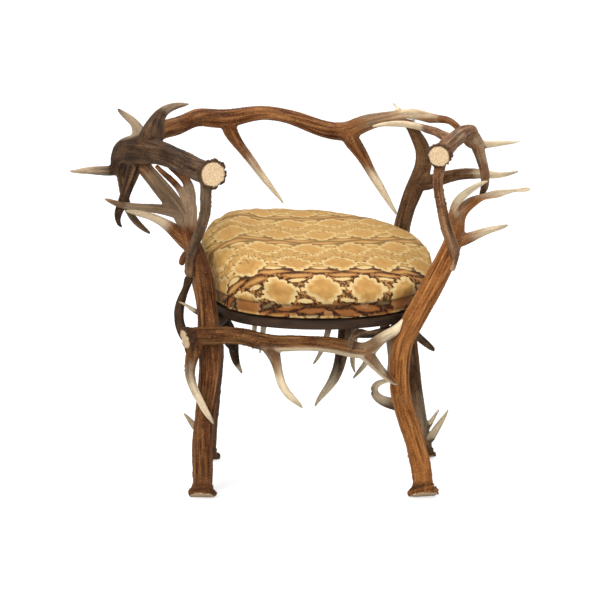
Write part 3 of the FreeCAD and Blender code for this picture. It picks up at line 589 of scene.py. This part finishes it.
# Cushion
def cover_hull():
    """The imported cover's outside as one closed even mesh."""
    work = bmesh.new()
    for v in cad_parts["seat_cover"].data.vertices:
        work.verts.new(v.co)
    bmesh.ops.remove_doubles(work, verts=work.verts, dist=HULL_WELD)
    made = bmesh.ops.convex_hull(work, input=work.verts)
    left_over = made["geom_interior"] + made["geom_unused"]
    inner = {v for v in left_over if isinstance(v, bmesh.types.BMVert)}
    bmesh.ops.delete(work, geom=list(inner), context="VERTS")
    return even_piece("seat_cushion", work, bpy.data.meshes.new("cushion"), CUSHION_VOXEL)


def above_seam(co):
    """Height above the sloping seam between the top panel and the boxing."""
    return co[:, 2] - SEAM_HEIGHT - SEAM_SLOPE * (co[:, 1] - SEAM_FRONT)


def stuff(piece):
    """Cloth filled from inside, held at its lower edge."""
    start = points(piece.data)
    y, z = start[:, 1], start[:, 2]
    held = piece.vertex_groups.new(name="held")
    lower = np.nonzero(z < z.min() + HELD_SLOPE * (y - y.min()) + HELD_BAND)[0]
    held.add([int(i) for i in lower], 1.0, "REPLACE")
    cloth = piece.modifiers.new("cloth", "CLOTH")
    cloth.settings.use_pressure = True
    cloth.settings.uniform_pressure_force = PRESSURE
    cloth.settings.vertex_group_mass = "held"
    cloth.settings.effector_weights.gravity = 0.0
    scene = bpy.context.scene
    for number in range(1, LAST_FRAME + 1):
        scene.frame_set(number)
    baked(piece)
    scene.frame_set(1)
    moved = points(piece.data) - start
    far = np.maximum(np.linalg.norm(moved, axis=1), 1e-9)
    most = CAP + CAP_LEFT * smooth_step(-start[:, 0], *CAP_X)
    put_points(piece.data, start + moved * (np.minimum(far, most) / far)[:, None])


def make_cushion():
    piece = cover_hull()
    put_points(piece.data, Neighbours(piece.data).spread(points(piece.data), CUSHION_ROUNDS))
    stuff(piece)
    sub = piece.modifiers.new("soft", "SUBSURF")
    sub.levels = sub.render_levels = 1
    baked(piece)
    mesh = piece.data
    near = Neighbours(mesh)
    co, normal = points(mesh), normals(mesh)
    above = above_seam(co)
    side = smooth_step(1 - np.abs(normal[:, 2]), *SIDE_TURN)
    rng = np.random.default_rng(CUSHION_SEED)
    pucker = levelled(near.spread(rng.standard_normal(len(co)), PUCKER_ROUNDS))
    seam = bell(above, SEAM_WIDTH) * side
    shelf = bell(above - SHELF_RISE, SHELF_WIDTH) * side
    below = smooth_step(-above, *BOXING_EDGE) * side
    lift = -SEAM_DEPTH * seam + SHELF_HEIGHT * shelf - BOXING_INSET * below
    lift = lift + PUCKER_HEIGHT * pucker * (PUCKER_AWAY + shelf)
    full = smooth_step(-co[:, 0], *SHOULDER_X) * smooth_step(co[:, 1], *SHOULDER_Y)
    full = full * smooth_step(above, *SHOULDER_RISE)
    lift = lift + SHOULDER_FULLNESS * near.spread(full, SHOULDER_ROUNDS)
    put_points(mesh, co + lift[:, None] * normal)
    # the seam attribute holds a painted shadow line just under the crease
    keep_values(mesh, "seam", bell(above + CREASE_SHADOW_DROP, CREASE_SHADOW_WIDTH) * side)
    keep_values(mesh, "below", below)
    smooth_shaded(mesh)
    unroll(mesh)
    dress(mesh, print_material())
    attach(piece, "root")
    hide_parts("seat_cover", "seat_pad")


def way_table(tree, middle):
    """Way over the surface from the crown's middle, by turn around it and slope away from it."""
    wide, deep, tall = UNROLL_AXES
    table = np.zeros((TURNS, RISES))
    for i in range(TURNS):
        angle = 2 * math.pi * i / TURNS
        last = None
        for k in range(RISES):
            slope = math.pi * k / (RISES - 1)
            way = Vector((wide * math.sin(slope) * math.cos(angle),
                          deep * math.sin(slope) * math.sin(angle),
                          tall * math.cos(slope))).normalized()
            hit = tree.ray_cast(Vector(middle) + way * OUTSIDE, -way)[0]
            if last is not None:
                table[i, k] = table[i, k - 1] + (hit - last).length
            last = hit
    return table


def unroll(mesh):
    """Lays the cloth flat: each point at its way over the surface from the crown's middle."""
    co = points(mesh)
    middle = (co.min(0) + co.max(0)) / 2
    middle[2] = co[:, 2].min() + UNROLL_HEIGHT
    table = way_table(ray_tree(mesh, co), middle)
    off = (co - middle) / np.array(UNROLL_AXES)
    turn = (np.arctan2(off[:, 1], off[:, 0]) / (2 * math.pi) * TURNS) % TURNS
    rise = np.arctan2(np.hypot(off[:, 0], off[:, 1]), off[:, 2]) / math.pi * (RISES - 1)
    i = np.floor(turn).astype(int) % TURNS
    j = (i + 1) % TURNS
    k = np.minimum(np.floor(rise).astype(int), RISES - 2)
    a, b = turn - np.floor(turn), rise - k
    here = (1 - b) * table[i, k] + b * table[i, k + 1]
    beside = (1 - b) * table[j, k] + b * table[j, k + 1]
    way = (1 - a) * here + a * beside
    flat = co[:, :2] - middle[:2]
    flat = flat * (way / np.maximum(np.linalg.norm(flat, axis=1), 1e-6))[:, None]
    layer = mesh.uv_layers.new(name="cloth")
    corner = np.empty(len(mesh.loops), np.int32)
    mesh.loops.foreach_get("vertex_index", corner)
    layer.data.foreach_set("uv", flat[corner].astype(np.float32).ravel())


def print_material():
    t = Tree("snake_print")
    uv = t.nodes.new("ShaderNodeUVMap")
    uv.uv_map = "cloth"
    flat = uv.outputs[0]
    split = t.nodes.new("ShaderNodeSeparateXYZ")
    t.links.new(flat, split.inputs[0])
    x, y = split.outputs[0], split.outputs[1]
    wander = t.sub(t.noise(24.0, flat, 2.0), 0.5)
    tooth = t.sub(t.noise(300.0, flat, 1.0), 0.5)
    shade = t.noise(60.0, flat, 4.0, 0.6)

    # The rows run aslant over the seat and bend a little
    slant = t.add(t.mul(x, ROW_SLANT), t.mul(t.mul(x, x), ROW_BEND))
    rise = t.add(t.add(y, slant), t.mul(t.mul(x, y), ROW_FAN))
    rise = t.add(t.add(rise, FIRST_ROW), t.mul(wander, ROW_WANDER))
    across = t.add(t.mul(x, ACROSS_X), t.mul(y, ACROSS_Y))
    across = t.add(across, t.mul(wander, ACROSS_WANDER))
    low = t.math("LESS_THAN", rise, 0.0)
    repeat = t.add(ROW_REPEAT, t.mul(low, LOW_REPEAT - ROW_REPEAT))
    phase = t.math("FLOORED_MODULO", rise, repeat)
    away = t.math("MINIMUM", phase, t.sub(repeat, phase))
    late = t.math("GREATER_THAN", phase, t.mul(repeat, 0.5))

    # Diamonds stand half a pitch apart from row to row
    shift = t.add(DIAMOND_START, t.mul(late, LATE_START))
    shift = t.add(shift, t.mul(low, t.add(LOW_START, t.mul(late, -LATE_START))))
    column = t.math("FLOORED_MODULO", t.add(across, shift), PRINT_PITCH)
    off = t.sub(PRINT_PITCH / 2, t.math("ABSOLUTE", t.sub(column, PRINT_PITCH / 2)))
    line = t.add(DIAMOND_LINE, t.mul(low, LOW_LINE))
    tall = t.add(DIAMOND_HEIGHT, t.mul(low, LOW_HEIGHT))
    wide = t.math("POWER", t.mul(off, 1 / DIAMOND_WIDTH), DIAMOND_POWER)
    high = t.math("DIVIDE", t.math("ABSOLUTE", t.sub(away, line)), tall)
    high = t.math("POWER", high, DIAMOND_POWER)
    jitter = t.mul(t.sub(t.noise(70.0, flat, 1.0), 0.5), 5.0)
    scallop = t.math("SINE", t.add(t.mul(t.sub(wide, high), SCALLOPS), jitter))
    ragged = t.add(t.mul(scallop, 0.06), t.mul(tooth, 0.24))
    diamond = t.add(t.add(wide, high), ragged)
    inside = t.step(diamond, 1.04, 0.98)
    edge = t.step(diamond, 0.55, 0.90)
    band = t.mul(t.step(diamond, 0.88, 0.96), t.step(diamond, 1.18, 1.06))
    ticks = t.mul(t.step(scallop, 0.45, 0.8), band)
    ticks = t.mul(ticks, t.step(t.noise(90.0, flat, 1.0), 0.38, 0.55))

    # Lozenges lie in two staggered lines along each row
    stagger = t.add(across, t.mul(late, PRINT_PITCH / 2))
    along = t.sub(t.math("FLOORED_MODULO", stagger, PRINT_PITCH), PRINT_PITCH / 2)
    swell = t.sub(LOZENGE_SWELL, t.mul(t.mul(along, along), LOZENGE_CURVE))
    swell = t.add(swell, t.mul(tooth, 0.0022))
    lozenge = t.sub(swell, t.math("ABSOLUTE", t.sub(away, LOZENGE_LINE)))
    lens = t.step(lozenge, 0.0, 0.0014)

    # Small pale lenses fill the notches between the diamonds
    notch = t.mul(t.sub(PRINT_PITCH / 2, off), 1 / NOTCH_WIDTH)
    notch_rise = t.mul(t.sub(away, NOTCH_LINE), 1 / NOTCH_HEIGHT)
    seed = t.add(t.math("POWER", notch, 2.0), t.math("POWER", notch_rise, 2.0))
    seed = t.step(t.add(seed, tooth), 1.0, 0.7)
    flecks = t.mul(t.step(t.noise(210.0, flat, 1.0), 0.57, 0.62), t.step(away, 0.046, 0.058))

    ground = t.mix(t.step(away, 0.016, 0.032), INK, TAN)
    ground = t.mix(t.mul(t.step(shade, 0.45, 0.62), 0.45), ground, TAN_SHADE)
    ornament = t.mix(t.step(t.noise(120.0, flat, 2.0), 0.48, 0.56), INK, ORNAMENT)
    ground = t.mix(t.mul(low, 0.9), ground, ornament)
    gold = t.mix(t.step(lozenge, 0.001, 0.006), LOZENGE_EDGE, LOZENGE_GOLD)
    colour = t.mix(lens, ground, gold)
    colour = t.mix(seed, colour, CREAM)
    heart = t.mix(t.step(shade, 0.3, 0.7), HEART_LIGHT, HEART_DARK)
    colour = t.mix(inside, colour, t.mix(edge, heart, CREAM))
    colour = t.mix(ticks, colour, INK)
    colour = t.mix(t.mul(flecks, 0.85), colour, FLECK)

    # The top is paler, partly faded and partly painted glare from the light above; the boxing is
    # browner and darker, partly its own print and partly painted shade
    colour = t.mix(t.mul(t.step(rise, -0.01, 0.12), 0.36), colour, FADED_AND_GLARE)
    # the boxing turns darker: partly its own browner print, partly painted shade under the top's
    # edge
    boxing_print_and_shade = t.mix(t.math("MAXIMUM", lens, inside), BOXING_SHADED_INK, BOXING_SHADED_BROWN)
    colour = t.mix(t.mul(t.attribute("below"), 0.80), colour, boxing_print_and_shade)
    # painted shadow line along the crease
    colour = t.mix(t.mul(t.attribute("seam"), 0.85), colour, CREASE_SHADOW)
    weave = t.add(t.math("SINE", t.mul(x, WEAVE)), t.math("SINE", t.mul(y, WEAVE)))
    t.bump(t.add(t.mul(weave, 0.2), shade), 0.0006, 0.35)
    return t.finish(colour, t.add(0.66, t.mul(shade, 0.2)), specular=0.15)


# Boards and metal
def stained_board():
    t = Tree("stained_board")
    stretch = t.nodes.new("ShaderNodeMapping")
    stretch.inputs["Scale"].default_value = BOARD_GRAIN
    t.links.new(t.place(), stretch.inputs["Vector"])
    grain = t.noise(1.0, stretch.outputs[0], 5.0, 0.6)
    blot = t.noise(14.0, detail=3.0)
    colour = t.mix(t.step(grain, 0.35, 0.68), BOARD_DARK, BOARD_LIGHT)
    colour = t.mix(t.mul(t.step(blot, 0.45, 0.7), 0.4), colour, BOARD_BLOT)
    t.bump(grain, 0.0005, 0.5)
    return t.finish(colour, t.add(0.5, t.mul(grain, 0.3)), specular=0.2)


def bare_ply():
    t = Tree("bare_ply")
    grain = t.noise(120.0, detail=4.0)
    colour = t.mix(t.step(grain, 0.35, 0.65), PLY_DARK, PLY_LIGHT)
    t.bump(grain, 0.0003, 0.4)
    return t.finish(colour, t.add(0.55, t.mul(grain, 0.25)))


def bright_steel():
    t = Tree("bright_steel")
    scratch = t.noise(800.0, detail=3.0)
    t.put(t.shader.inputs["Metallic"], 1.0)
    colour = t.mix(scratch, STEEL_DARK, STEEL_LIGHT)
    return t.finish(colour, t.add(0.25, t.mul(scratch, 0.2)))


# Stage
def make_floor():
    bpy.ops.mesh.primitive_plane_add(size=FLOOR_SIZE)
    floor = bpy.context.object
    floor.name = "floor"
    t = Tree("pale_floor")
    colour = t.mix(t.noise(3.0), *FLOOR_GREYS)
    path = t.nodes.new("ShaderNodeLightPath")
    seen = t.math("MAXIMUM", path.outputs["Is Camera Ray"], path.outputs["Is Glossy Ray"])
    seen = t.math("MAXIMUM", seen, path.outputs["Is Transmission Ray"])
    far = t.nodes.new("ShaderNodeVectorMath")
    far.operation = "LENGTH"
    t.links.new(t.place(), far.inputs[0])
    glow = t.step(far.outputs["Value"], *GLOW_REACH, *GLOW)
    t.put(t.shader.inputs["Emission Color"], (1, 1, 1, 1))
    t.put(t.shader.inputs["Emission Strength"], t.mul(seen, glow))
    floor.data.materials.append(t.finish(colour, FLOOR_ROUGHNESS))


def make_world():
    """A white room that looks brighter than it lights."""
    world = bpy.data.worlds.new("studio")
    bpy.context.scene.world = world
    world.use_nodes = True
    nodes, links = world.node_tree.nodes, world.node_tree.links
    path = nodes.new("ShaderNodeLightPath")
    seen = path.outputs["Is Camera Ray"]
    for ray in ("Is Glossy Ray", "Is Transmission Ray"):
        either = nodes.new("ShaderNodeMath")
        either.operation = "MAXIMUM"
        links.new(seen, either.inputs[0])
        links.new(path.outputs[ray], either.inputs[1])
        seen = either.outputs[0]
    level = nodes.new("ShaderNodeMapRange")
    links.new(seen, level.inputs[0])
    level.inputs["To Min"].default_value = WORLD_LIGHT
    level.inputs["To Max"].default_value = WORLD_SEEN
    back = nodes["Background"]
    back.inputs["Color"].default_value = (1, 1, 1, 1)
    links.new(level.outputs[0], back.inputs["Strength"])


def turned_to(item, target):
    return (Vector(target) - item.location).to_track_quat("-Z", "Y").to_euler()


def lamp(name, place, size, watts):
    data = bpy.data.lights.new(name, "AREA")
    data.shape = "SQUARE"
    data.size = size
    data.energy = watts
    item = new_object(name, data)
    item.location = place
    item.rotation_euler = turned_to(item, LAMP_TARGET)


def make_camera():
    data = bpy.data.cameras.new("camera")
    data.sensor_width = SENSOR_MM
    data.lens = LENS_MM
    data.clip_end = VIEW_END
    camera = new_object("camera", data)
    camera.location = AIM + DISTANCE * Vector((0, -math.cos(ELEVATION), math.sin(ELEVATION)))
    camera.rotation_euler = turned_to(camera, AIM)
    bpy.context.scene.camera = camera


bpy.context.scene.view_settings.view_transform = "Standard"
make_camera()
make_floor()
make_world()
for row in LAMPS:
    lamp(*row)
for index, name in enumerate(ANTLERS):
    make_antler(name, FIRST_SEED + index)
make_cushion()
dress(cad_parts["seat_platform"].data, stained_board())
dress(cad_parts["slip_seat_base"].data, bare_ply())
steel = bright_steel()
for name in ("joint_pins", "seat_screws", "cover_staples"):
    dress(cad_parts[name].data, steel)
